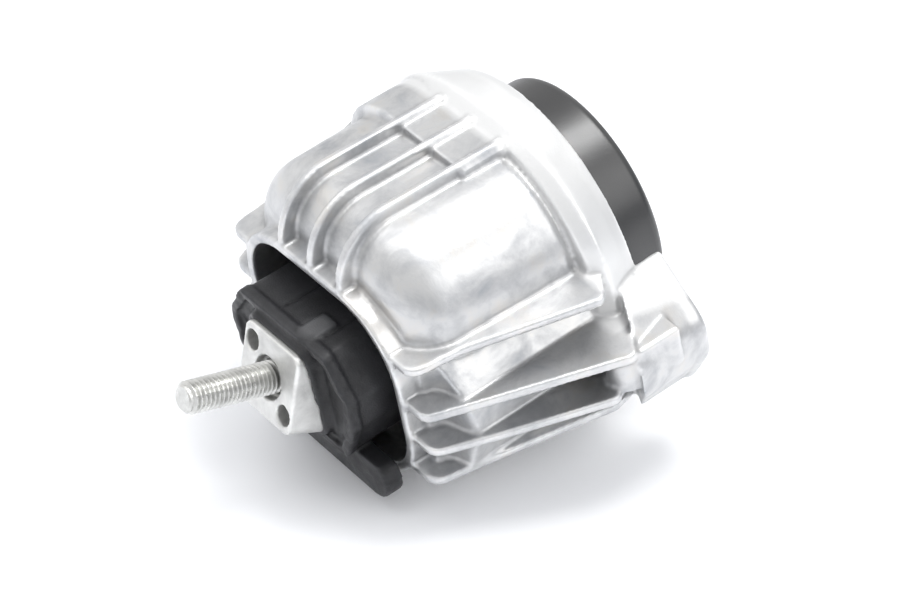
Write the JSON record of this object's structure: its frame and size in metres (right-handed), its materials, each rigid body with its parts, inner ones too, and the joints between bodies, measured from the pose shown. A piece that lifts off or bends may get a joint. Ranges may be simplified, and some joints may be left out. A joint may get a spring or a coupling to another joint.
{
  "type": "hydraulic engine mount",
  "caption": "Fluid-filled engine mount: ribbed cast bell housing with side wings and lugs, rubber-covered core with a leaning stud, and a round base cup.",
  "frame": {"origin": "where the axis of the bell meets the seat of the base cup", "axes": "+Z along the bell from the base cup to the block, +Y towards the three top ribs, +X towards the lug on the right when seen from the block with the ribs up"},
  "size_m": [0.1434, 0.103, 0.1442],
  "materials": {
    "cast_housing": "satin as cast, finely mottled",
    "core_metal": "matt as cast",
    "spring_rubber": "satin moulded rubber",
    "sleeve_steel": "phosphated",
    "stud_steel": "bright zinc plated",
    "cup_coating": "satin black coating",
    "plate_metal": "matt die cast",
    "thin_rubber": "matt"
  },
  "bodies": {
    "root": {"housing": "cast_housing", "core": "core_metal", "rubber_spring": "spring_rubber", "spring_sleeve": "sleeve_steel", "upper_stud": "stud_steel", "base_cup": "cup_coating", "base_nut": "stud_steel", "nozzle_plate_lower": "plate_metal", "nozzle_plate_upper": "plate_metal", "nozzle_rivets": "stud_steel", "decoupler": "thin_rubber", "bellows": "thin_rubber", "bellows_ring": "sleeve_steel"}
  },
  "joints": []
}
